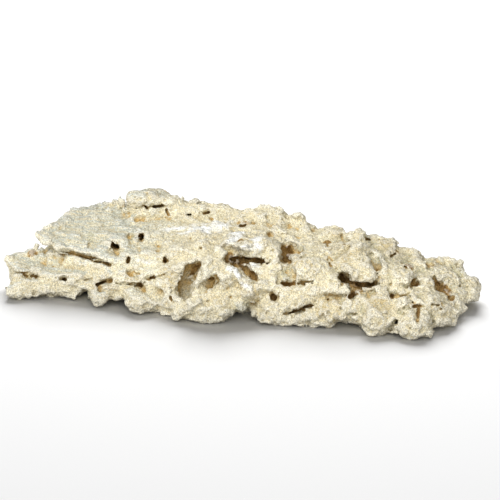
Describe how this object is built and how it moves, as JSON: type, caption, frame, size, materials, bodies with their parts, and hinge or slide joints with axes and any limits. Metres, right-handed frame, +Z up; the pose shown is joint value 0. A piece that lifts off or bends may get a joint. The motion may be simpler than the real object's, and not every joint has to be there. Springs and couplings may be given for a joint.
{
  "type": "dry reef rock",
  "caption": "Flat, ledged slab of dry, porous reef limestone with knobs, caves and shellfish bores, lying on its underside.",
  "frame": {"origin": "middle of the box of the rock, level with the ground it rests on", "axes": "+X along the length, towards the rock's low right end; +Y to its back; +Z up"},
  "size_m": [0.4056, 0.154, 0.0758],
  "materials": {
    "dry_reef_limestone": "dry, chalky, cream limestone, fully matt, with brown hollows and white chalk patches"
  },
  "bodies": {
    "root": {"reef_rock": "dry_reef_limestone"}
  },
  "joints": []
}
